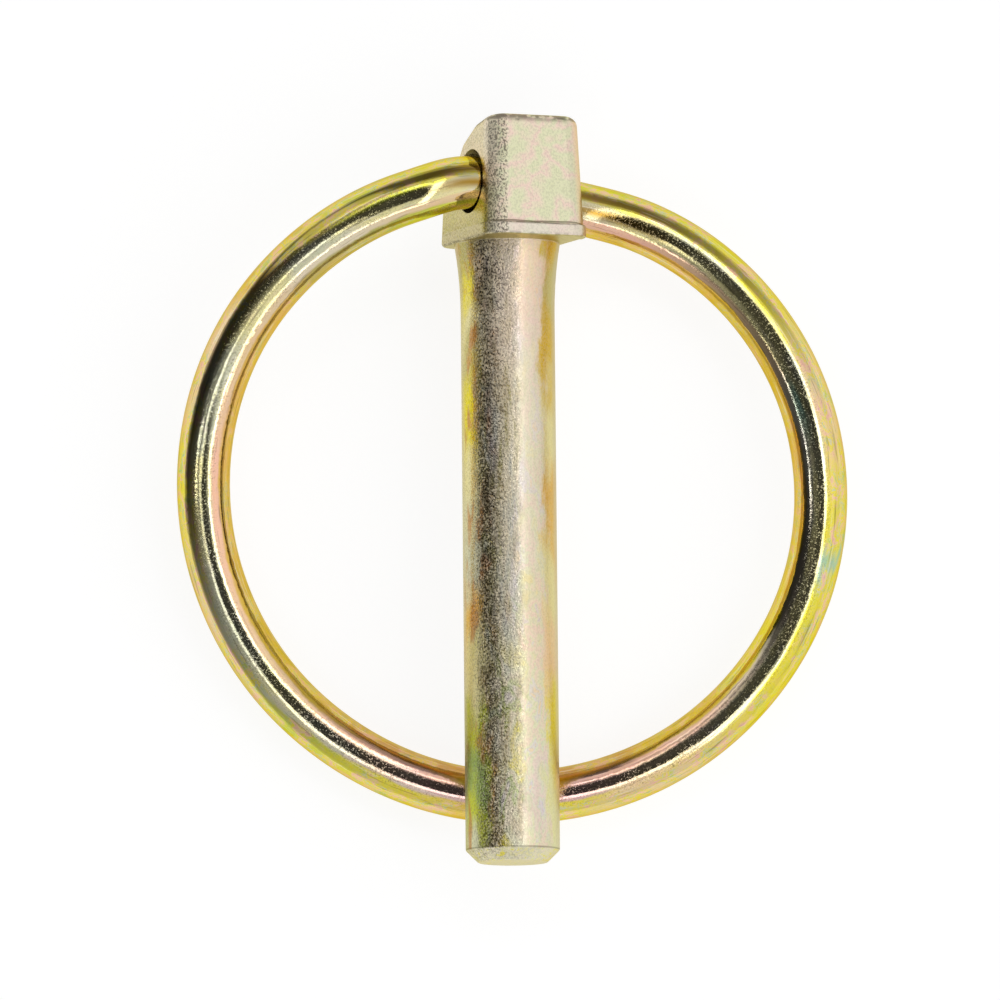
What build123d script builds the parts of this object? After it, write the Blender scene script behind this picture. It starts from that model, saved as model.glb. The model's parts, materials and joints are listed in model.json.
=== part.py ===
import math
import os

from build123d import *

os.makedirs("parts", exist_ok=True)

# Shank, neck and tip
shank_d = 6.0
shank_length = 39.58
tip_chamfer = 0.8
tip_edge_r = 0.25
neck_flare = 0.375
neck_length = 4.48

# Forged block head: its front face looks towards -Y before it is turned on the shank
head_turn_deg = 24.0
head_width = 6.97
head_front = 5.29
head_back = 3.45
head_height = 7.92
front_corner_r = 1.25
back_corner_r = 1.25
head_draft_deg = 2.3
crown_edge_r = 0.6
foot_edge_r = 0.22
crown_tilt_share = 0.3

# Side outline of the head: places in front of the shank axis, and drops below the top of the front face
crown_knee_front = 2.2
crown_knee_drop = 0.5
slope_top_front = 0.25
slope_top_drop = 1.5
nose_height = 1.72
crown_knee_r = 1.2
slope_top_r = 1.0

# Forging lip along the foot of the front face
lip_height = 0.81
lip_proud = 0.2
lip_side = 0.08
lip_wrap = 1.3
lip_edge_r = 0.15

# Cross bore for the ring
bore_play = 0.64
bore_front = 1.88
bore_up = 3.09
bore_slant_deg = 10.5
bore_mouth = 0.04
wire_sits_low = 0.1
wire_sits_front = 0.16

# Ring wire: its ends lie on one line in the bore, and the ring spirals slightly
wire_d = 3.4
wire_end_chamfer = 0.25
wire_end_gap = 1.4
ring_r = 19.72
ring_centre_right = -0.66
ring_crest = 1.06
ring_shank_gap = 0.9
left_end_rise = 2.48
right_end_sink = 2.0
crank_inset = 0.6
ring_stations_deg = (-61.7, -52, -40, -15, 20, 60, 100, 140, 170, 205, 230, 251.5)
ring_r_shares = (
    0.9353, 0.9468, 0.9605, 0.9862, 1.0093, 1.0162, 1.0100, 1.0000, 0.9988, 1.0041, 1.0063, 1.0026,
)
lean_starts_deg = (0, 180)

# How it lies: it rolls a little until its weight is between the two points it rests on
rest_roll_deg = -0.5
rest_pitch_limits_deg = (0, 12)
rest_pitch_steps = 18

shank_r = shank_d / 2
wire_r = wire_d / 2
bore_r = (wire_d + bore_play) / 2
neck_r = shank_r + neck_flare
head_half = head_width / 2
head_depth = head_front + head_back
ring_centre_down = ring_r - ring_crest
draft = math.tan(math.radians(head_draft_deg))
turn = math.radians(head_turn_deg)
slant = math.radians(bore_slant_deg)

# The hinge runs along the bore, square to the turned head and slanting down to the right
hinge_axis = Vector(
    math.cos(turn) * math.cos(slant),
    math.sin(turn) * math.cos(slant),
    -math.sin(slant),
)
hinge_front = bore_front + wire_sits_front
hinge_mid = Vector(
    hinge_front * math.sin(turn),
    -hinge_front * math.cos(turn),
    bore_up - wire_sits_low,
)


def shank_and_neck():
    """Round shank with a chamfered, soft-edged tip and a flared neck that runs into the head."""
    tip_z = -shank_length
    with BuildSketch(Plane.XZ) as outline:
        with BuildLine():
            wall_top = (shank_r, -neck_length)
            neck_top = (neck_r, 0)
            FilletPolyline(
                (0, tip_z),
                (shank_r - tip_chamfer, tip_z),
                (shank_r, tip_z + tip_chamfer),
                wall_top,
                radius=tip_edge_r,
            )
            TangentArc(wall_top, neck_top, tangent=(0, shank_r))
            Polyline(neck_top, (neck_r, foot_edge_r * 2), (0, foot_edge_r * 2), (0, tip_z))
        make_face()
    return revolve(outline.sketch, Axis.Z)


def head_plan(grow, forward):
    """Rounded outline of the head seen from above, grown all round and moved forward."""
    with BuildSketch(Plane.XY) as plan:
        with Locations((0, (head_back - head_front) / 2 - forward)):
            Rectangle(head_width + grow * 2, head_depth + grow * 2)
        fillet(plan.vertices().group_by(Axis.Y)[0], front_corner_r + grow)
        fillet(plan.vertices().group_by(Axis.Y)[-1], back_corner_r + grow)
    return plan.sketch


def ridge_at(prism, front, up):
    """The edge across the prism nearest the given place in front of the axis and height."""
    target = Vector(0, -front, up)
    ridges = prism.edges().filter_by(Axis.X)
    return min(ridges, key=lambda ridge: (ridge.center() - target).length)


def head_front_view():
    """Front outline of the head, narrowing upwards by the draft, as a prism through its depth."""
    top_half = head_half - head_height * draft
    with BuildSketch(Plane.XZ) as front:
        with BuildLine():
            Polyline(
                (-head_half, 0),
                (head_half, 0),
                (top_half, head_height),
                (-top_half, head_height),
                close=True,
            )
        make_face()
    return extrude(front.sketch, head_depth, both=True)


def head_side_view():
    """Side outline of the head, with its sloped back, as a prism across its width."""
    knee_up = head_height - crown_knee_drop
    slope_up = head_height - slope_top_drop
    with BuildSketch(Plane.YZ) as side:
        with BuildLine():
            Polyline(
                (-head_front, 0),
                (-head_front + head_height * draft, head_height),
                (-crown_knee_front, knee_up),
                (-slope_top_front, slope_up),
                (head_back - nose_height * draft, nose_height),
                (head_back, 0),
                close=True,
            )
        make_face()
    prism = extrude(side.sketch, head_width, both=True)
    prism = fillet(ridge_at(prism, crown_knee_front, knee_up), crown_knee_r)
    return fillet(ridge_at(prism, slope_top_front, slope_up), slope_top_r)


def rim_of(faces):
    """The edges that only one of the given faces has."""
    edges = [edge for face in faces for edge in face.edges()]
    return [edge for edge in edges if sum(edge.is_same(other) for other in edges) == 1]


def head_block():
    """Drafted block head with its sloped back and rounded edges."""
    block = head_front_view() & head_side_view()
    foot = block.faces().sort_by(Axis.Z)[0]
    uprights = [edge for edge in block.edges() if stands_on(edge, foot)]
    uprights.sort(key=lambda edge: edge.center().Y)
    block = fillet(uprights[:2], front_corner_r)
    foot = block.faces().sort_by(Axis.Z)[0]
    uprights = [edge for edge in block.edges() if stands_on(edge, foot)]
    uprights.sort(key=lambda edge: edge.center().Y)
    block = fillet(uprights[-2:], back_corner_r)
    crown = [face for face in block.faces() if face.normal_at().Z > crown_tilt_share]
    block = fillet(rim_of(crown), crown_edge_r)
    foot = block.faces().sort_by(Axis.Z)[0]
    return fillet(foot.edges(), foot_edge_r)


def stands_on(edge, foot):
    """True for an edge that rises from the foot face."""
    ends = sorted(edge.vertices(), key=lambda corner: corner.Z)
    return ends[0].Z < foot.center().Z + foot_edge_r and ends[-1].Z > foot.center().Z + foot_edge_r


def forging_lip():
    """Thin proud band left by the dies along the foot of the front face and round its corners."""
    band = extrude(head_plan(lip_side, lip_proud - lip_side), lip_height)
    rims = band.edges().group_by(Axis.Z)
    band = fillet(rims[0] + rims[-1], lip_edge_r)
    keep = Pos(0, -head_front - lip_proud, 0) * Box(
        head_width * 2,
        (lip_wrap + lip_proud) * 2,
        head_height,
    )
    return band & keep


def bore_tool():
    """Bar for the slanting cross bore, with a small flare where it leaves each side of the head."""
    fall = math.tan(slant)
    centre = Vector(0, -bore_front, bore_up)
    along = Vector(math.cos(slant), 0, -math.sin(slant))
    tool = Plane(origin=centre, z_dir=along) * Cylinder(bore_r, head_width + head_depth)
    for side in (-1, 1):
        out = (head_half - bore_up * draft) / (1 - side * fall * draft)
        mouth = centre + Vector(side, 0, -side * fall) * out
        flare = Cone(
            bore_r - bore_mouth,
            bore_r + bore_mouth * 2,
            bore_mouth * 3,
            align=(Align.CENTER, Align.CENTER, Align.MIN),
        )
        tool += Plane(origin=mouth, z_dir=(side, 0, draft)) * Pos(0, 0, -bore_mouth * 2) * flare
    return tool


def pin_body():
    """Whole forged pin, upright, with the underside of its head at height 0."""
    turned = Rot(0, 0, head_turn_deg)
    head = turned * (head_block() + forging_lip())
    return shank_and_neck() + head - turned * bore_tool()


def ring_plane():
    """Plane of the shut ring: it meets the bore and passes just behind the shank."""
    reach_down = ring_centre_down + ring_r
    reach_back = shank_r + wire_r + ring_shank_gap - hinge_mid.Y
    back = reach_back / reach_down
    down = Vector(0, back, -math.sqrt(1 - back * back))
    return Plane(origin=hinge_mid, x_dir=(1, 0, 0), z_dir=Vector(1, 0, 0).cross(down))


def lean_at(angle_deg):
    """How far the ring stands in front of its plane: its ends part to reach the two bore mouths."""
    first, last = ring_stations_deg[0], ring_stations_deg[-1]
    right_share = max(0, (angle_deg - lean_starts_deg[0]) / (first - lean_starts_deg[0]))
    left_share = max(0, (angle_deg - lean_starts_deg[1]) / (last - lean_starts_deg[1]))
    return left_end_rise * eased(left_share) - right_end_sink * eased(right_share)


def eased(share):
    """Share of a rise that starts and ends level."""
    return (1 - math.cos(math.pi * share)) / 2


def ring_path():
    """Centre line of the wire, from the end on the right of the bore round to the end on the left."""
    plane = ring_plane()
    points = []
    for angle_deg, r_share in zip(ring_stations_deg, ring_r_shares):
        angle = math.radians(angle_deg)
        right = ring_centre_right + ring_r * r_share * math.cos(angle)
        down = ring_centre_down + ring_r * r_share * math.sin(angle)
        points.append(plane.from_local_coords(Vector(right, down, -lean_at(angle_deg))))
    mouth = head_half / math.cos(slant) - crank_inset
    right_tip = hinge_mid + hinge_axis * (wire_end_gap / 2)
    right_crank = hinge_mid + hinge_axis * mouth
    left_crank = hinge_mid - hinge_axis * mouth
    left_tip = hinge_mid - hinge_axis * (wire_end_gap / 2)
    loop = Spline(*points)
    return Wire(
        [
            Line(right_tip, right_crank),
            Spline(right_crank, points[0], tangents=(hinge_axis, loop % 0)),
            loop,
            Spline(points[-1], left_crank, tangents=(loop % 1, hinge_axis)),
            Line(left_crank, left_tip),
        ]
    )


def spring_ring():
    """Round wire bent into a ring, with its two cranked ends in the bore."""
    path = ring_path()
    start = Plane(origin=path @ 0, z_dir=path % 0)
    wire = sweep(start * Circle(wire_r), path=path)
    ends = sorted(wire.faces().filter_by(GeomType.PLANE), key=lambda face: face.center().X)
    rims = [edge for face in ends for edge in face.edges()]
    return chamfer(rims, wire_end_chamfer)


def lying(shape, pitch_deg):
    """The shape laid on its back, tip end raised by the pitch, then rolled as it rests."""
    return Rot(0, rest_roll_deg, 0) * (Rot(-90 - pitch_deg, 0, 0) * shape)


def lowest(shape, pitch_deg):
    """Lowest height of the laid shape."""
    return lying(shape, pitch_deg).bounding_box().min.Z


def rest_pitch(body, ring):
    """Pitch at which the head and the far side of the ring both touch the ground."""
    low, high = rest_pitch_limits_deg
    for _ in range(rest_pitch_steps):
        middle = (low + high) / 2
        if lowest(body, middle) > lowest(ring, middle):
            low = middle
        else:
            high = middle
    return (low + high) / 2


def placed():
    """Both pieces as they lie, standing on height 0 and centred over the origin."""
    body = pin_body()
    ring = spring_ring()
    pitch_deg = rest_pitch(body, ring)
    body = lying(body, pitch_deg)
    ring = lying(ring, pitch_deg)
    box = body.bounding_box().add(ring.bounding_box())
    shift = Pos(-box.center().X, -box.center().Y, -box.min.Z)
    return {"pin_body": shift * body, "spring_ring": shift * ring}


for node, solid in placed().items():
    export_step(solid, "parts/" + node + ".step")
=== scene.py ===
import json
import math
import bpy
from mathutils import Euler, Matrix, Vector

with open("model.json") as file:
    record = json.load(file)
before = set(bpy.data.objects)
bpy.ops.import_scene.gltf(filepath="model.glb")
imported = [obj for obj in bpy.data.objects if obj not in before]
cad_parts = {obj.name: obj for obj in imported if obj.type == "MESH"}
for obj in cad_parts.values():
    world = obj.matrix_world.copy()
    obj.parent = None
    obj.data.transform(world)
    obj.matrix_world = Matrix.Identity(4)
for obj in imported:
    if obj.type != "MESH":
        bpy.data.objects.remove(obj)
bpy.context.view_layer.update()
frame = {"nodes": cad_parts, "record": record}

scene = bpy.context.scene
scene.view_settings.view_transform = "Standard"
MM = 0.001

# The lying pin, from the record's mount: its axis up to the head, right, front and the head's foot in mm
PICTURE_UP = Vector((0.0, 1.0, 0.0))
FOOT_ABOVE_MOUNT = 21.63
SHANK_LENGTH = 39.6
shank_mount = frame["record"]["mounts"][0]
PIN_AXIS = -Vector(shank_mount["axis"])
PIN_RIGHT = PIN_AXIS.cross(PICTURE_UP).normalized()
PIN_FRONT = PIN_RIGHT.cross(PIN_AXIS)
PIN_FOOT = Vector(shank_mount["pos_m"]) / MM + PIN_AXIS * FOOT_ABOVE_MOUNT

# The head, turned about the pin's axis, with heights above its foot and depths to its front in mm
HEAD_TURN = math.radians(24.0)
HEAD_RIGHT = PIN_RIGHT * math.cos(HEAD_TURN) - PIN_FRONT * math.sin(HEAD_TURN)
HEAD_FRONT = PIN_RIGHT * math.sin(HEAD_TURN) + PIN_FRONT * math.cos(HEAD_TURN)
HEAD_STARTS = (-0.12, 0.04)
LIP_ENDS = (0.84, 0.76)
LEFT_FACE = (0.0, 7.0)
FACE_DEPTH = (4.6, 5.0)
TIP_DEPTH = (-37.0, -38.0)

# The ring, from the record's joint: its slope, the hinge's place in its plane and its middle in mm
RING_SLOPE = math.radians(6.0746)
HINGE_RIGHT = 0.66
HINGE_UP = 18.66
WIRE_R = 1.7
hinge = frame["record"]["behaviour"]["joints"][0]
level_front = PIN_RIGHT.cross(PICTURE_UP)
RING_RIGHT = PIN_RIGHT
RING_UP = PICTURE_UP * math.cos(RING_SLOPE) + level_front * math.sin(RING_SLOPE)
RING_FRONT = RING_RIGHT.cross(RING_UP)
RING_MIDDLE = Vector(hinge["pos_m"]) / MM - RING_RIGHT * HINGE_RIGHT - RING_UP * HINGE_UP


class Graph:
    """Short calls that add nodes to one node tree."""

    def __init__(self, tree):
        self.tree = tree

    def node(self, kind, **settings):
        made = self.tree.nodes.new(kind)
        for name, value in settings.items():
            setattr(made, name, value)
        return made

    def feed(self, socket, value):
        """Links another node's output to a socket, or sets a plain value on it."""
        if isinstance(value, bpy.types.NodeSocket):
            self.tree.links.new(value, socket)
        else:
            socket.default_value = value

    def calc(self, operation, first, second=0.0, third=0.0):
        made = self.node("ShaderNodeMath", operation=operation)
        for socket, value in zip(made.inputs, (first, second, third)):
            self.feed(socket, value)
        return made.outputs[0]

    def times(self, first, *others):
        for other in others:
            first = self.calc("MULTIPLY", first, other)
        return first

    def most(self, first, *others):
        for other in others:
            first = self.calc("MAXIMUM", first, other)
        return first

    def vector_calc(self, operation, vector, fixed):
        made = self.node("ShaderNodeVectorMath", operation=operation)
        self.feed(made.inputs[0], vector)
        made.inputs[1].default_value = fixed
        return made

    def dot(self, vector, direction):
        return self.vector_calc("DOT_PRODUCT", vector, direction).outputs["Value"]

    def scaled(self, vector, factors):
        return self.vector_calc("MULTIPLY", vector, factors).outputs["Vector"]

    def minus(self, vector, point):
        return self.vector_calc("SUBTRACT", vector, point).outputs["Vector"]

    def joined(self, x, y, z):
        made = self.node("ShaderNodeCombineXYZ")
        for socket, value in zip(made.inputs, (x, y, z)):
            self.feed(socket, value)
        return made.outputs[0]

    def noise(self, vector, stretch, scale, detail=2.0, roughness=0.5, distortion=0.0):
        made = self.node("ShaderNodeTexNoise")
        self.feed(made.inputs["Vector"], self.scaled(vector, stretch))
        made.inputs["Scale"].default_value = scale
        made.inputs["Detail"].default_value = detail
        made.inputs["Roughness"].default_value = roughness
        made.inputs["Distortion"].default_value = distortion
        return made.outputs[0]

    def wander(self, noise, width):
        """A noise as a shift to either side, over the given width."""
        return self.calc("MULTIPLY_ADD", noise, width, -width / 2)

    def ramp(self, share, stops, interpolation="EASE"):
        """A run of colours, or of plain levels, along a share."""
        made = self.node("ShaderNodeValToRGB")
        band = made.color_ramp
        band.interpolation = interpolation
        while len(band.elements) < len(stops):
            band.elements.new(0.5)
        for element, (place, colour) in zip(band.elements, stops):
            element.position = place
            grey = isinstance(colour, float)
            element.color = (colour, colour, colour, 1.0) if grey else (*colour, 1.0)
        self.feed(made.inputs[0], share)
        return made.outputs[0]

    def span(self, value, low, high, to_low=0.0, to_high=1.0):
        """A soft step from to_low to to_high, as the value goes from low to high."""
        made = self.node("ShaderNodeMapRange", interpolation_type="SMOOTHSTEP")
        self.feed(made.inputs["Value"], value)
        for name, number in (("From Min", low), ("From Max", high), ("To Min", to_low), ("To Max", to_high)):
            made.inputs[name].default_value = number
        return made.outputs[0]

    def hump(self, value, middle, reach):
        """One at the middle, falling softly to zero at the reach on both sides."""
        rise = self.span(value, middle - reach, middle)
        fall = self.span(value, middle, middle + reach, 1.0, 0.0)
        return self.times(rise, fall)

    def blend(self, share, first, second):
        """The first colour, going over into the second by the share."""
        made = self.node("ShaderNodeMix", data_type="RGBA")
        sockets = [socket for socket in made.inputs if socket.enabled]
        for socket, value in zip(sockets, (share, first, second)):
            if isinstance(value, tuple):
                value = (*value, 1.0)
            self.feed(socket, value)
        return [socket for socket in made.outputs if socket.enabled][0]

    def bump(self, height, depth_mm, below=None):
        made = self.node("ShaderNodeBump")
        made.inputs["Strength"].default_value = 1.0
        made.inputs["Distance"].default_value = depth_mm * MM
        self.feed(made.inputs["Height"], height)
        if below is not None:
            self.feed(made.inputs["Normal"], below)
        return made.outputs[0]


# Plating colours
CREAM = (0.78, 0.68, 0.51)
PALE_GREEN = (0.70, 0.70, 0.46)
PALE_ROSE = (0.81, 0.62, 0.52)
LILAC = (0.68, 0.62, 0.63)
STRAW = (0.78, 0.71, 0.36)
PEACH = (0.82, 0.58, 0.35)
UMBER = (0.34, 0.20, 0.03)
LEMON = (0.79, 0.68, 0.035)
LIME = (0.58, 0.62, 0.06)
LEAF = (0.36, 0.48, 0.13)
OLIVE = (0.43, 0.38, 0.13)
BROWN = (0.42, 0.31, 0.13)
GOLD = (0.66, 0.44, 0.04)
AMBER = (0.74, 0.45, 0.10)
COPPER = (0.53, 0.25, 0.08)
SALMON = (0.86, 0.49, 0.37)
MAUVE = (0.66, 0.38, 0.40)
TEAL = (0.32, 0.55, 0.42)
ASH = (0.60, 0.58, 0.50)
SAGE = (0.60, 0.60, 0.44)
KHAKI = (0.56, 0.50, 0.20)
SALT = (0.95, 0.89, 0.74)
# Dark colour for soot specks and for the painted shade lines
SOOT_AND_SHADE = (0.07, 0.055, 0.035)
PIN_EDGE_TINT = (0.90, 0.83, 0.55)
RING_EDGE_TINT = (0.84, 0.70, 0.28)


def plated(name, edge_tint):
    """An empty plated-metal material, its graph and its shader."""
    material = bpy.data.materials.new(name)
    material.use_nodes = True
    shader = material.node_tree.nodes["Principled BSDF"]
    shader.inputs["Metallic"].default_value = 1.0
    shader.inputs["Specular Tint"].default_value = (*edge_tint, 1.0)
    return material, Graph(material.node_tree), shader


# Pin patterns: stretch across, along and to the front, cells per mm, then detail, roughness and distortion
EVEN = (1.0, 1.0, 1.0)
RAGGED_EDGES = ((1.0, 0.33, 1.0), 1.1, 4.0, 0.65)
SHANK_DRIFT = ((0.7, 0.3, 0.7), 0.55, 3.0, 0.6)
STREAKS = ((1.0, 0.16, 1.0), 0.9, 3.0, 0.6, 0.3)
PATCHES = ((0.9, 0.4, 0.9), 0.8, 2.0, 0.6, 0.4)
FLECKS = ((1.0, 0.55, 1.0), 0.85, 3.0, 0.65, 0.3)
STAINS = ((1.1, 0.22, 1.1), 1.2, 3.0, 0.65, 0.3)
RUST = ((1.0, 0.30, 1.0), 0.9, 2.0, 0.6)
TIP_SPOTS = (EVEN, 2.2, 3.0, 0.7)
MOTTLE = (EVEN, 1.5, 1.5, 0.6)
BLOTCHES = (EVEN, 0.5, 1.0)
PIN_PITS = ((1.0, 0.75, 1.0), 9.0, 2.0, 0.55)
CLUSTERS = ((1.0, 0.40, 1.0), 1.7, 3.0, 0.6)
CREASE_WAVE = (EVEN, 0.35, 1.0)
NICKS = (EVEN, 1.3)
CROWN_LINE_BREAKS = (EVEN, 2.2, 2.0)
LIP_LINE_BREAKS = (EVEN, 2.6, 2.0)
PIN_SPECK_SHIFT = (7.0, 4.0, 5.0)

# How far the patterns push the shank's tints across it, and along it as a share of its length
SIDE_WANDER = 0.80
DOWN_WANDER = 0.34

# Tints from the neck (0) to the tip (1): the shank's left, its right and its right rim
LEFT_RUN = (
    (0.00, OLIVE), (0.07, LEMON), (0.13, STRAW), (0.20, KHAKI), (0.27, LEMON), (0.36, STRAW), (0.50, SAGE),
    (0.60, AMBER), (0.70, STRAW), (0.79, LIME), (0.87, LEAF), (0.94, LIME), (1.00, PALE_GREEN),
)
RIGHT_RUN = (
    (0.00, PEACH), (0.16, PALE_ROSE), (0.28, CREAM), (0.54, CREAM), (0.64, PEACH), (0.76, STRAW),
    (0.84, PALE_GREEN), (0.92, LILAC), (1.00, STRAW),
)
RIM_RUN = (
    (0.00, GOLD), (0.10, KHAKI), (0.20, GOLD), (0.34, STRAW), (0.46, AMBER), (0.56, STRAW), (0.66, PEACH),
    (0.78, LEMON), (1.00, PALE_GREEN),
)

# Tints up the head's left face, from its foot
LEFT_FACE_RUN = ((0.0, OLIVE), (0.14, KHAKI), (0.34, KHAKI), (0.50, PEACH), (1.0, CREAM))

# Tints by level of a pattern
MIDDLE_TINTS = ((0.32, OLIVE), (0.43, CREAM), (0.53, ASH), (0.60, LILAC), (0.68, CREAM))
LOWER_TINTS = ((0.34, LEMON), (0.43, PALE_GREEN), (0.52, CREAM), (0.60, LEAF), (0.68, LILAC))
FLECK_TINTS = (
    (0.36, STRAW), (0.43, PALE_GREEN), (0.48, CREAM), (0.53, PALE_ROSE), (0.58, PALE_GREEN), (0.64, LILAC),
    (0.70, PEACH),
)
# Painted shade: darker tints for the stretch of the shank that faces up and to the left
SHADE_TINTS = ((0.38, COPPER), (0.46, BROWN), (0.54, OLIVE), (0.62, SAGE))
TIP_TINTS = ((0.36, LEMON), (0.44, PALE_GREEN), (0.50, CREAM), (0.56, SAGE), (0.64, STRAW))
HEAD_TINTS = (
    (0.38, PALE_GREEN), (0.46, CREAM), (0.50, PALE_ROSE), (0.53, CREAM), (0.58, PALE_GREEN), (0.70, CREAM),
)

# Zones of the shank, by how far it faces right (1) or left (-1): where each starts and where it is full. The
# shaded zone is painted shade where the shank faces up and to the left.
RIGHT_ZONE = (0.10, 0.40)
RIM_ZONE = (0.64, 0.80)
SHADED_ZONE = (-0.20, -0.50)
LEFT_ZONE = (-0.56, -0.74)
WORN_ZONE = (-0.50, -0.66)
LOWER_LEFT_NARROWING = -0.14

# Marks on the head, in mm: heights above its foot, reach up and down, and how far the lines wave. The crease
# line is painted shade.
CREASE_UP = 0.84
CREASE_REACH = 0.07
NICK_UP = 7.45
NICK_REACH = 0.12
LIP_EDGE_UP = 0.08
LIP_EDGE_REACH = 0.20
LINE_WANDER = 0.35
NICK_WANDER_SHARE = 1.5

# Depth of the pin's bumps in mm
PIT_DEPTH = 0.045
MARK_DEPTH = 0.03


class PinPlaces:
    """Where a point of the pin lies, in mm from the head's foot, and which way it faces."""

    def __init__(self, g):
        place = g.node("ShaderNodeTexCoord")
        from_foot = g.minus(g.scaled(place.outputs["Object"], (1 / MM,) * 3), PIN_FOOT)
        normal = place.outputs["Normal"]
        self.along = g.dot(from_foot, PIN_AXIS)
        self.forward = g.dot(from_foot, HEAD_FRONT)
        self.spot = g.joined(g.dot(from_foot, PIN_RIGHT), self.along, g.dot(from_foot, PIN_FRONT))
        self.to_right = g.dot(normal, PIN_RIGHT)
        self.to_head_right = g.dot(normal, HEAD_RIGHT)
        self.up_axis = g.dot(normal, PIN_AXIS)
        self.on_head = g.span(self.along, *HEAD_STARTS)
        ragged = g.wander(g.noise(self.spot, *RAGGED_EDGES), SIDE_WANDER)
        self.side = g.calc("ADD", self.to_right, ragged)
        drift = g.wander(g.noise(self.spot, *SHANK_DRIFT), DOWN_WANDER)
        self.down = g.calc("MULTIPLY_ADD", self.along, -1 / SHANK_LENGTH, drift)
        self.lower = g.span(self.down, 0.55, 0.75)
        self.left_edge = g.calc("MULTIPLY_ADD", self.lower, LOWER_LEFT_NARROWING, self.side)


def shank_middle(g, p, patches):
    """Middle of the shank: streaks along it, rosy near the neck and patchy towards the tip."""
    tint = g.ramp(g.noise(p.spot, *STREAKS), MIDDLE_TINTS)
    rosy = g.span(p.down, 0.30, 0.12, 0.0, 0.6)
    tint = g.blend(rosy, tint, PALE_ROSE)
    patchy = g.span(p.down, 0.42, 0.90, 0.06, 0.75)
    return g.blend(patchy, tint, g.ramp(patches, LOWER_TINTS))


def shank_right(g, p):
    """Right of the shank: pale, with flecks that show more towards the tip."""
    flecked = g.span(p.down, 0.15, 0.70, 0.35, 0.75)
    return g.blend(flecked, g.ramp(p.down, RIGHT_RUN), g.ramp(g.noise(p.spot, *FLECKS), FLECK_TINTS))


def shank_left(g, p):
    """Left of the shank: yellows and greens with copper stains."""
    rusty = g.span(g.noise(p.spot, *RUST), 0.54, 0.66, 0.0, 0.8)
    return g.blend(rusty, g.ramp(p.down, LEFT_RUN), COPPER)


def shank_tint(g, p):
    """Shank: pale right with its rim, middle, painted shade on the stretch facing up and to the left,
    coloured left, dull edges and pale tip.
    """
    patches = g.noise(p.spot, *PATCHES)
    tint = g.blend(g.span(p.side, *RIGHT_ZONE), shank_middle(g, p, patches), shank_right(g, p))
    tint = g.blend(g.span(p.side, *RIM_ZONE), tint, g.ramp(p.down, RIM_RUN))
    # Painted shade: the stretch facing up and to the left goes over into brown and olive tints
    painted_shade = g.times(g.span(p.side, *SHADED_ZONE), g.span(p.down, 0.05, 0.35, 0.55, 0.9))
    tint = g.blend(painted_shade, tint, g.ramp(patches, SHADE_TINTS))
    stained = g.span(g.noise(p.spot, *STAINS), 0.50, 0.66)
    stained = g.times(stained, g.span(p.to_right, 0.40, 0.05, 0.1, 0.6))
    tint = g.blend(stained, tint, BROWN)
    tint = g.blend(g.span(p.left_edge, *LEFT_ZONE), tint, shank_left(g, p))
    dull = g.span(g.calc("ABSOLUTE", p.to_right), 0.90, 0.99, 0.0, 0.6)
    tint = g.blend(dull, tint, ASH)
    on_tip = g.span(p.up_axis, -0.30, -0.55, 0.0, 0.85)
    return g.blend(on_tip, tint, g.ramp(g.noise(p.spot, *TIP_SPOTS), TIP_TINTS))


def head_tint(g, p):
    """Head: soft blotches, green-yellow left face, warm right edge, paler lip and dull underside."""
    large = g.times(g.noise(p.spot, *BLOTCHES), 0.75)
    blotches = g.calc("MULTIPLY_ADD", g.noise(p.spot, *MOTTLE), 0.25, large)
    tint = g.ramp(blotches, HEAD_TINTS)
    on_left = g.span(p.to_head_right, -0.35, -0.85, 0.0, 0.85)
    tint = g.blend(on_left, tint, g.ramp(g.span(p.along, *LEFT_FACE), LEFT_FACE_RUN))
    on_right = g.span(p.to_head_right, 0.25, 0.6, 0.0, 0.6)
    tint = g.blend(on_right, tint, PEACH)
    on_lip = g.times(g.span(p.along, *LIP_ENDS), g.span(p.to_head_right, -0.9, -0.5, 0.25, 0.6))
    tint = g.blend(on_lip, tint, g.blend(blotches, CREAM, LILAC))
    underneath = g.span(p.up_axis, -0.4, -0.8)
    return g.blend(underneath, tint, KHAKI)


def head_left_edge(g, p):
    """The rounded edge between the head's front and its left face."""
    from_front = g.span(p.to_head_right, 0.02, -0.15)
    from_left = g.span(p.to_head_right, -0.985, -0.85)
    return g.times(p.on_head, from_front, from_left)


def pin_coarseness(g, p, left_edge):
    """How grainy the pin is: most on the shank's middle and the head's left edge, least on the tip."""
    on_middle = g.times(g.span(p.to_right, 0.42, 0.10), g.span(p.to_right, -0.86, -0.55, 0.3, 1.0))
    clustered = g.span(g.noise(p.spot, *CLUSTERS), 0.36, 0.58, 0.55, 1.0)
    less_on_head = g.span(p.on_head, 0.0, 1.0, 1.0, 0.3)
    on_left_face = g.times(p.on_head, g.span(p.to_head_right, -0.75, -0.95, 0.0, 0.45))
    everywhere = g.span(p.on_head, 0.0, 1.0, 0.28, 0.20)
    coarse = g.most(g.times(on_middle, clustered, less_on_head), left_edge, on_left_face, everywhere)
    less_on_tip = g.most(g.span(p.up_axis, -0.95, -0.45, 0.25, 1.0), p.on_head)
    return g.times(coarse, less_on_tip)


def pin_salt_and_sheen(g, p, grain, coarse, left_edge):
    """Pits that scatter the light: more near the neck and on the head's left edge, and more towards the lit
    right as painted sheen.
    """
    # Painted sheen: light pits grow thicker towards the lit right side
    lit_side_sheen = g.span(p.to_right, -0.42, 0.0, 0.0, 0.06)
    neck_more = g.span(p.down, 0.34, 0.10, 0.0, 0.06)
    level = g.calc("ADD", grain, g.most(lit_side_sheen, neck_more))
    return g.most(g.times(g.span(level, 0.49, 0.58), coarse), g.times(left_edge, 0.60))


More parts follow.
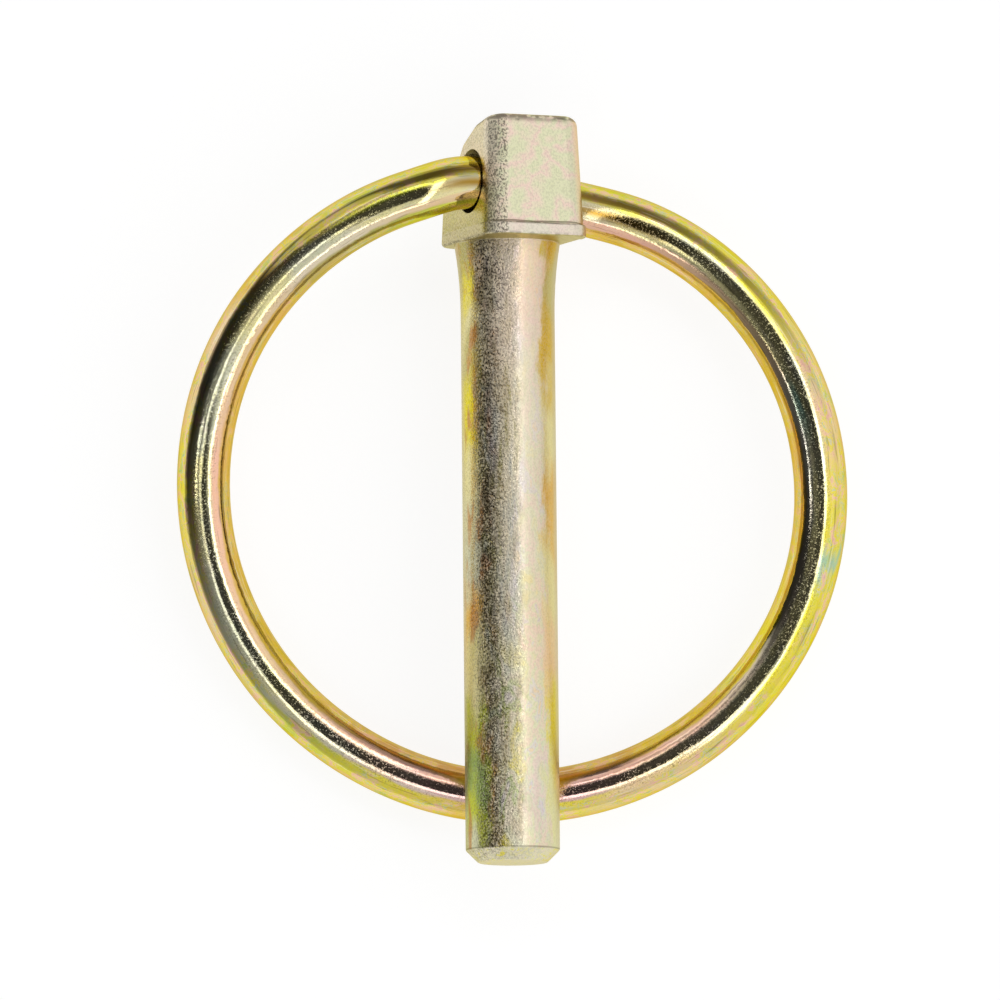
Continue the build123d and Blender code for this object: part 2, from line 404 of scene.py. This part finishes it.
def pin_soot_and_shade(g, p, coarse):
    """Dark pits, with more of them on the shank's shaded left as painted shade."""
    specks = g.noise(g.minus(p.spot, PIN_SPECK_SHIFT), *PIN_PITS)
    # Painted shade: the dark pits grow thicker towards the shank's left
    shaded_left_more = g.times(g.span(p.to_right, -0.02, -0.45, 0.40, 1.0), g.span(p.down, 0.10, 0.40, 0.85, 1.0))
    specks_and_shade_share = g.most(g.times(shaded_left_more, 0.80), g.times(p.on_head, 0.65))
    return g.times(g.span(specks, 0.51, 0.43), coarse, specks_and_shade_share)


def crease_shade_and_nick(g, p):
    """Two thin wavering lines: the crease above the lip, a line of painted shade, and a broken nick near the
    top of the head.
    """
    wave = g.wander(g.noise(p.spot, *CREASE_WAVE), LINE_WANDER)
    # Painted shade: a dark line along the crease where the lip meets the face
    crease = g.hump(g.calc("ADD", p.along, wave), CREASE_UP, CREASE_REACH)
    crease = g.times(crease, g.span(p.forward, *FACE_DEPTH))
    nick = g.hump(g.calc("MULTIPLY_ADD", wave, NICK_WANDER_SHARE, p.along), NICK_UP, NICK_REACH)
    nick = g.times(nick, g.span(g.noise(p.spot, *NICKS), 0.45, 0.6))
    return crease, nick


def pin_edge_lines_and_shade(g, p):
    """Dark lines round the crown and along the lip's foot, and a painted shadow line round the top of the
    tip's chamfer.
    """
    crown = g.times(g.span(p.up_axis, 0.30, 0.65), g.span(g.noise(p.spot, *CROWN_LINE_BREAKS), 0.32, 0.52))
    crown = g.times(crown, g.span(p.up_axis, 0.98, 0.90, 0.2, 1.0))
    lip = g.hump(p.along, LIP_EDGE_UP, LIP_EDGE_REACH)
    lip = g.times(lip, g.span(g.noise(p.spot, *LIP_LINE_BREAKS), 0.40, 0.58), p.on_head, 0.55)
    # Painted shadow: a dark line along the upper edge of the tip's chamfer
    tip = g.times(g.hump(p.up_axis, -0.30, 0.26), g.span(p.along, *TIP_DEPTH), 0.8)
    return g.most(crown, lip, tip)


def pin_finish():
    """Forged pin: satin yellow zinc, grainy, with mottling along the shank and tinted sides."""
    material, g, shader = plated("forged_pin_zinc", PIN_EDGE_TINT)
    p = PinPlaces(g)
    grain = g.noise(p.spot, *PIN_PITS)
    left_edge = head_left_edge(g, p)
    coarse = pin_coarseness(g, p, left_edge)
    salt = pin_salt_and_sheen(g, p, grain, coarse, left_edge)
    crease, nick = crease_shade_and_nick(g, p)
    soot = pin_soot_and_shade(g, p, coarse)
    # Soot specks, with painted shade in the crease and along the tip's chamfer edge
    dirt_and_shade = g.most(soot, g.times(pin_edge_lines_and_shade(g, p), 0.7), g.times(crease, 0.7), g.times(nick, 0.6))
    colour = g.blend(p.on_head, shank_tint(g, p), head_tint(g, p))
    # Light pits, thickened towards the lit right as painted sheen
    colour = g.blend(g.times(salt, 0.5), colour, SALT)
    g.feed(shader.inputs["Base Color"], g.blend(dirt_and_shade, colour, SOOT_AND_SHADE))
    smooth = g.span(p.to_right, -0.40, 0.02, 0.14, 0.29)
    worn = g.times(p.lower, g.span(p.left_edge, *WORN_ZONE))
    satin = g.calc("MULTIPLY_ADD", worn, 0.22, smooth)
    g.feed(shader.inputs["Roughness"], g.calc("MULTIPLY_ADD", salt, 0.46, satin))
    pitted = g.bump(g.times(grain, coarse), PIT_DEPTH)
    marks = g.calc("SUBTRACT", 1.0, g.most(crease, nick))
    g.feed(shader.inputs["Normal"], g.bump(marks, MARK_DEPTH, pitted))
    return material


# Ring patterns: stretch in the ring's plane twice and round the wire or to the front, then as for the pin
RING_DRIFT = ((0.14, 0.14, 0.45), 1.0, 3.0, 0.6)
FILM = ((1.0, 1.0, 1.9), 1.0, 4.0, 0.7, 0.5)
FILM_PATCHES = ((0.5, 0.5, 0.9), 1.0, 2.0, 0.5)
RING_PITS = (EVEN, 8.5, 3.0, 0.6)
DRAWN_LINES = ((0.25, 0.25, 7.0), 1.0, 3.0, 0.6)
GRAIN_PATCHES = ((0.3, 0.3, 0.6), 1.0, 2.0, 0.5)
RING_SPECK_SHIFT = (7.0, 3.0, 5.0)

# How far the drift pushes the tints round the ring, as a share of a turn, and across the wire
TURN_WANDER = 0.10
BAND_WANDER = 0.5

# Tints round the ring, from its left (0) by the tip, its right (0.5) and the head back to its left (1)
OUTER_RUN = (
    (0.00, LEMON), (0.06, PEACH), (0.12, LIME), (0.18, LEMON), (0.24, AMBER), (0.28, LEMON), (0.33, PEACH),
    (0.38, LEMON), (0.455, LEMON), (0.47, TEAL), (0.485, LEMON), (0.54, PEACH), (0.60, LEMON), (0.68, LIME),
    (0.76, LEMON), (0.83, LIME), (0.88, AMBER), (0.94, PEACH), (1.00, LEMON),
)
INNER_RUN = (
    (0.00, AMBER), (0.10, GOLD), (0.20, COPPER), (0.30, COPPER), (0.34, GOLD), (0.42, LEMON), (0.50, AMBER),
    (0.58, GOLD), (0.66, AMBER), (0.74, GOLD), (0.79, LIME), (0.84, OLIVE), (0.89, AMBER), (1.00, AMBER),
)
CROWN_RUN = (
    (0.00, SALMON), (0.10, PEACH), (0.18, SALMON), (0.25, MAUVE), (0.32, SALMON), (0.42, CREAM), (0.53, ASH),
    (0.60, PEACH), (0.69, SALMON), (0.78, PEACH), (0.85, CREAM), (0.92, PEACH), (1.00, SALMON),
)

# Tints of the thin film, by level of its pattern
FILM_TINTS = (
    (0.30, TEAL), (0.38, LIME), (0.44, SAGE), (0.49, LEMON), (0.57, PEACH), (0.63, SALMON), (0.72, MAUVE),
)

# Bands across the wire, by how far it faces out of the ring (1) or into it (-1): start and full
CROWN_BAND = (-0.22, -0.36)
INNER_BAND = (-0.52, -0.62)
OUTER_BAND = (0.17, 0.32)

# Painted shade near the head, then a teal stain: place and reach round the ring, then across the wire
PAINTED_SHADE_BANDS = (
    (0.735, 0.19, 0.57, 0.30),
    (0.765, 0.05, 0.05, 0.34),
    (0.69, 0.05, 0.05, 0.40),
)
TEAL_STAIN = (0.543, 0.03, -0.22, 0.25)

# Polish of the wire, and depth of its bumps in mm
RING_SMOOTH = 0.05
RING_PIT_DEPTH = 0.005
RING_LINE_DEPTH = 0.004


class RingPlaces:
    """Where a point of the ring lies: in mm from its middle, round the ring and across the wire."""

    def __init__(self, g):
        place = g.node("ShaderNodeTexCoord")
        from_middle = g.minus(g.scaled(place.outputs["Object"], (1 / MM,) * 3), RING_MIDDLE)
        normal = place.outputs["Normal"]
        right = g.dot(from_middle, RING_RIGHT)
        up = g.dot(from_middle, RING_UP)
        self.spot = g.joined(right, up, g.dot(from_middle, RING_FRONT))
        reach = g.calc("SQRT", g.calc("ADD", g.times(right, right), g.times(up, up)))
        facing = g.times(g.dot(normal, RING_RIGHT), right)
        facing = g.calc("ADD", facing, g.times(g.dot(normal, RING_UP), up))
        self.outward = g.calc("DIVIDE", facing, reach)
        around = g.calc("ARCTAN2", self.outward, g.dot(normal, RING_FRONT))
        self.wire = g.joined(right, up, g.times(around, WIRE_R))
        self.drift = g.noise(self.wire, *RING_DRIFT)
        turn = g.calc("MULTIPLY_ADD", g.calc("ARCTAN2", up, right), 0.5 / math.pi, 0.5)
        self.turn = g.calc("ADD", turn, g.wander(self.drift, TURN_WANDER))
        self.band = g.calc("ADD", self.outward, g.wander(self.drift, BAND_WANDER))


def ring_bands(g, r):
    """Bands of plating colour along the wire, wandering and changing round the ring."""
    tint = g.blend(g.span(r.drift, 0.42, 0.58), SAGE, STRAW)
    tint = g.blend(g.hump(r.turn, 0.25, 0.15), tint, MAUVE)
    tint = g.blend(g.span(r.band, *CROWN_BAND), tint, g.ramp(r.turn, CROWN_RUN))
    tint = g.blend(g.span(r.band, *INNER_BAND), tint, g.ramp(r.turn, INNER_RUN))
    left_shift = g.span(g.calc("ABSOLUTE", g.calc("SUBTRACT", r.turn, 0.5)), 0.34, 0.42, 0.0, 0.3)
    top_shift = g.times(g.hump(r.turn, 0.68, 0.15), 0.15)
    outer_place = g.calc("SUBTRACT", r.band, g.most(left_shift, top_shift))
    return g.blend(g.span(outer_place, *OUTER_BAND), tint, g.ramp(r.turn, OUTER_RUN))


def ring_film(g, r, tint):
    """A thin film of many colours, faint all over and in patches on the outer and inner sides."""
    film = g.ramp(g.noise(r.wire, *FILM), FILM_TINTS)
    on_rim = g.most(g.span(r.outward, 0.25, 0.45), g.span(r.outward, -0.6, -0.8, 0.0, 0.5))
    patchy = g.span(g.noise(r.wire, *FILM_PATCHES), 0.42, 0.54, 0.12, 0.78)
    return g.blend(g.calc("MULTIPLY_ADD", on_rim, patchy, 0.10), tint, film)


def ring_stains_and_shade(g, r, tint):
    """Brown painted shade near the head and the bore's mouth, a teal stain on the right, and dull outermost
    and innermost edges.
    """
    for place, reach, across, across_reach in PAINTED_SHADE_BANDS:
        # Painted shade: umber bands along the wire near the head and the bore's mouth
        stained = g.times(g.hump(r.turn, place, reach), g.hump(r.outward, across, across_reach))
        tint = g.blend(stained, tint, UMBER)
    place, reach, across, across_reach = TEAL_STAIN
    tint = g.blend(g.times(g.hump(r.turn, place, reach), g.hump(r.band, across, across_reach)), tint, TEAL)
    dull = g.span(g.calc("ABSOLUTE", r.outward), 0.92, 0.99, 0.0, 0.35)
    return g.blend(dull, tint, ASH)


def ring_graininess(g, r):
    """How grainy the wire is: in patches on its front and back, and smooth near the head."""
    patchy = g.span(g.noise(r.wire, *GRAIN_PATCHES), 0.40, 0.58, 0.45, 1.0)
    smooth_near_head = g.calc("SUBTRACT", 1.0, g.hump(r.turn, 0.765, 0.06))
    less_on_rim = g.span(g.calc("ABSOLUTE", r.outward), 0.50, 0.30, 0.2, 1.0)
    return g.times(patchy, smooth_near_head, less_on_rim)


def ring_finish():
    """Ring wire: glossy yellow zinc with iridescent bands along the wire, fine pits and drawn lines."""
    material, g, shader = plated("ring_wire_zinc", RING_EDGE_TINT)
    r = RingPlaces(g)
    grain = g.noise(r.spot, *RING_PITS)
    specks = g.noise(g.minus(r.spot, RING_SPECK_SHIFT), *RING_PITS)
    lines = g.noise(r.wire, *DRAWN_LINES)
    grainy = ring_graininess(g, r)
    salt = g.times(g.span(grain, 0.53, 0.65), grainy)
    soot = g.times(g.span(specks, 0.48, 0.34, 0.0, 0.55), grainy)
    soot = g.most(soot, g.span(lines, 0.42, 0.30, 0.0, 0.45))
    tint = ring_stains_and_shade(g, r, ring_film(g, r, ring_bands(g, r)))
    tint = g.blend(g.times(salt, 0.2), tint, SALT)
    tint = g.blend(g.span(lines, 0.58, 0.70, 0.0, 0.35), tint, SALT)
    g.feed(shader.inputs["Base Color"], g.blend(soot, tint, SOOT_AND_SHADE))
    g.feed(shader.inputs["Roughness"], g.calc("MULTIPLY_ADD", salt, 0.42, RING_SMOOTH))
    pitted = g.bump(g.times(grain, grainy), RING_PIT_DEPTH)
    g.feed(shader.inputs["Normal"], g.bump(lines, RING_LINE_DEPTH, pitted))
    return material


def dress(node, material):
    """Gives a CAD node its finish."""
    piece = frame["nodes"][node]
    piece.data.materials.clear()
    piece.data.materials.append(material)


dress("pin_body", pin_finish())
dress("spring_ring", ring_finish())

# Camera: looks almost straight down on the lying pin, from far off
elevation = math.radians(89.0)
lean = math.radians(0.6)
distance = 1.0
aim = Vector((-0.775 * MM, -0.59 * MM, 4.0 * MM))
frame_width = 63.8 * MM
sensor_width = 36.0
cam_data = bpy.data.cameras.new("camera")
cam_data.sensor_width = sensor_width
cam_data.lens = sensor_width * distance / frame_width
cam_data.clip_start = 0.01
cam_data.clip_end = 20.0
camera = bpy.data.objects.new("camera", cam_data)
scene.collection.objects.link(camera)
camera.rotation_euler = Euler((math.pi / 2 - elevation, 0, -lean), "XYZ")
bpy.context.view_layer.update()
view_dir = camera.rotation_euler.to_matrix() @ Vector((0, 0, -1))
camera.location = aim - view_dir * distance
scene.camera = camera

# Floor: its side in metres, its grey, and the glow that is mixed in where it is seen
FLOOR_SIDE = 8.0
FLOOR_GREY = (0.9, 0.9, 0.9, 1.0)
FLOOR_GLOW = 1.2
FLOOR_GLOW_SHARE = 0.7


def pale_floor():
    """Wide white floor that keeps a faint shadow under the object."""
    bpy.ops.mesh.primitive_plane_add(size=FLOOR_SIDE, location=(0, 0, 0))
    floor = bpy.context.object
    floor.name = "floor"
    material = bpy.data.materials.new("floor")
    material.use_nodes = True
    g = Graph(material.node_tree)
    matt = material.node_tree.nodes["Principled BSDF"]
    matt.inputs["Base Color"].default_value = FLOOR_GREY
    matt.inputs["Roughness"].default_value = 1.0
    matt.inputs["Specular IOR Level"].default_value = 0.0
    white = g.node("ShaderNodeEmission")
    white.inputs["Strength"].default_value = FLOOR_GLOW
    rays = g.node("ShaderNodeLightPath").outputs
    seen = g.most(rays["Is Camera Ray"], rays["Is Glossy Ray"], rays["Is Transmission Ray"])
    mix = g.node("ShaderNodeMixShader")
    g.feed(mix.inputs[0], g.times(seen, FLOOR_GLOW_SHARE))
    g.feed(mix.inputs[1], matt.outputs[0])
    g.feed(mix.inputs[2], white.outputs[0])
    g.feed(material.node_tree.nodes["Material Output"].inputs[0], mix.outputs[0])
    floor.data.materials.append(material)


# Light from the right, foot, top and left of the picture: degrees off straight up, and level
SIDE_LIGHT = {
    (1.0, 0.0, 0.0): ((0, 0.05), (18, 0.06), (28, 1.02), (55, 1.10), (80, 0.94)),
    (0.0, -1.0, 0.0): ((0, 0.05), (19, 0.06), (27, 0.88), (55, 0.85), (90, 0.80)),
    (0.0, 1.0, 0.0): (
        (0, 0.05), (20, 0.06), (26, 0.95), (28, 2.40), (33, 2.40), (36, 0.95), (48, 0.95), (53, 0.16),
        (76, 0.16), (84, 0.60),
    ),
    (-1.0, 0.0, 0.0): (
        (0, 0.06), (10, 0.07), (30, 0.06), (42, 0.03), (72, 0.02), (80, 0.10), (86, 0.45), (90, 0.75),
    ),
}

# Soft round patches of light at the top left and the lower left: direction, outer and inner degrees, level
LIGHT_PATCHES = (
    ((-0.633, 0.591, 0.500), 22.0, 12.0, 0.75),
    ((-0.212, -0.308, 0.927), 7.0, 4.0, 1.6),
)
NEVER_ZERO = 0.000001


def studio():
    """Soft studio: dark overhead and to the left, bright elsewhere, with two soft patches."""
    world = bpy.data.worlds.new("studio")
    scene.world = world
    world.use_nodes = True
    g = Graph(world.node_tree)
    toward = g.node("ShaderNodeTexCoord").outputs["Generated"]
    parts = g.node("ShaderNodeSeparateXYZ")
    g.feed(parts.inputs[0], toward)
    x, y, z = parts.outputs
    off_zenith = g.calc("DIVIDE", g.calc("ARCCOSINE", z), math.pi / 2)
    flat = g.most(g.calc("ADD", g.times(x, x), g.times(y, y)), NEVER_ZERO)
    peak = max(level for stops in SIDE_LIGHT.values() for _, level in stops)
    total = 0.0
    for way, stops in SIDE_LIGHT.items():
        level = g.ramp(off_zenith, [(degrees / 90, value / peak) for degrees, value in stops], "LINEAR")
        part = g.most(g.dot(toward, way), 0.0)
        weight = g.calc("DIVIDE", g.times(part, part), flat)
        total = g.calc("MULTIPLY_ADD", weight, level, total)
    for way, outer, inner, value in LIGHT_PATCHES:
        ends = (math.cos(math.radians(outer)), math.cos(math.radians(inner)))
        total = g.calc("ADD", total, g.span(g.dot(toward, way), *ends, 0.0, value / peak))
    background = world.node_tree.nodes["Background"]
    g.feed(background.inputs["Color"], total)
    background.inputs["Strength"].default_value = peak


def softbox(name, strength, across, upward, height):
    """Bright panel over the object, in millimetres, seen only in reflections."""
    (low_x, high_x), (low_y, high_y) = across, upward
    corners = [(low_x, low_y), (high_x, low_y), (high_x, high_y), (low_x, high_y)]
    mesh = bpy.data.meshes.new(name)
    mesh.from_pydata([(x * MM, y * MM, height * MM) for x, y in corners], [], [(0, 1, 2, 3)])
    panel = bpy.data.objects.new(name, mesh)
    scene.collection.objects.link(panel)
    material = bpy.data.materials.new(name)
    material.use_nodes = True
    g = Graph(material.node_tree)
    glow = g.node("ShaderNodeEmission")
    glow.inputs["Strength"].default_value = strength
    g.feed(material.node_tree.nodes["Material Output"].inputs[0], glow.outputs[0])
    mesh.materials.append(material)
    for ray in ("camera", "diffuse", "transmission", "shadow"):
        setattr(panel, "visible_" + ray, False)


pale_floor()
studio()
softbox("strip_right", strength=3.0, across=(137.0, 214.0), upward=(-320.0, 320.0), height=400.0)
softbox("strip_low", strength=2.4, across=(-32.0, 32.0), upward=(-46.0, -35.0), height=60.0)
softbox("lamp_left", strength=5.0, across=(-88.0, -66.0), upward=(-23.0, -19.0), height=95.0)
